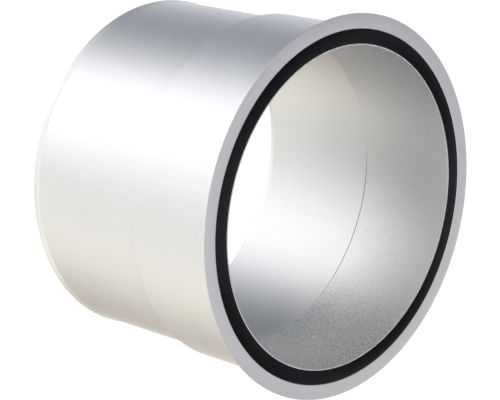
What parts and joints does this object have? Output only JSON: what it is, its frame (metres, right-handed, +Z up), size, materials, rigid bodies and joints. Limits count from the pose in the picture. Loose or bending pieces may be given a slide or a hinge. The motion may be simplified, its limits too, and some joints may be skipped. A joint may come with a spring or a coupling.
{
  "type": "flue wall rosette",
  "caption": "Double-walled sheet steel sleeve with a flat round wall flange and a black seal ring, which carries a flue pipe through a masonry wall.",
  "frame": {"origin": "on the sleeves' common axis, in the plane of the wall's face, which is the back face of the flange", "axes": "+Y along the sleeves' axis into the wall, -Y out of the mouth into the room, +Z up"},
  "size_m": [0.18, 0.1232, 0.18],
  "materials": {
    "outer_sheet": "bright aluminised sheet steel, satin, with a fine matt grain",
    "inner_sheet": "bright aluminised sheet steel, satin, with a fine speckle",
    "black_seal": "smooth black, half matt"
  },
  "bodies": {
    "root": {"outer_sleeve": "outer_sheet", "inner_sleeve": "inner_sheet", "seal_ring": "black_seal"}
  },
  "joints": []
}
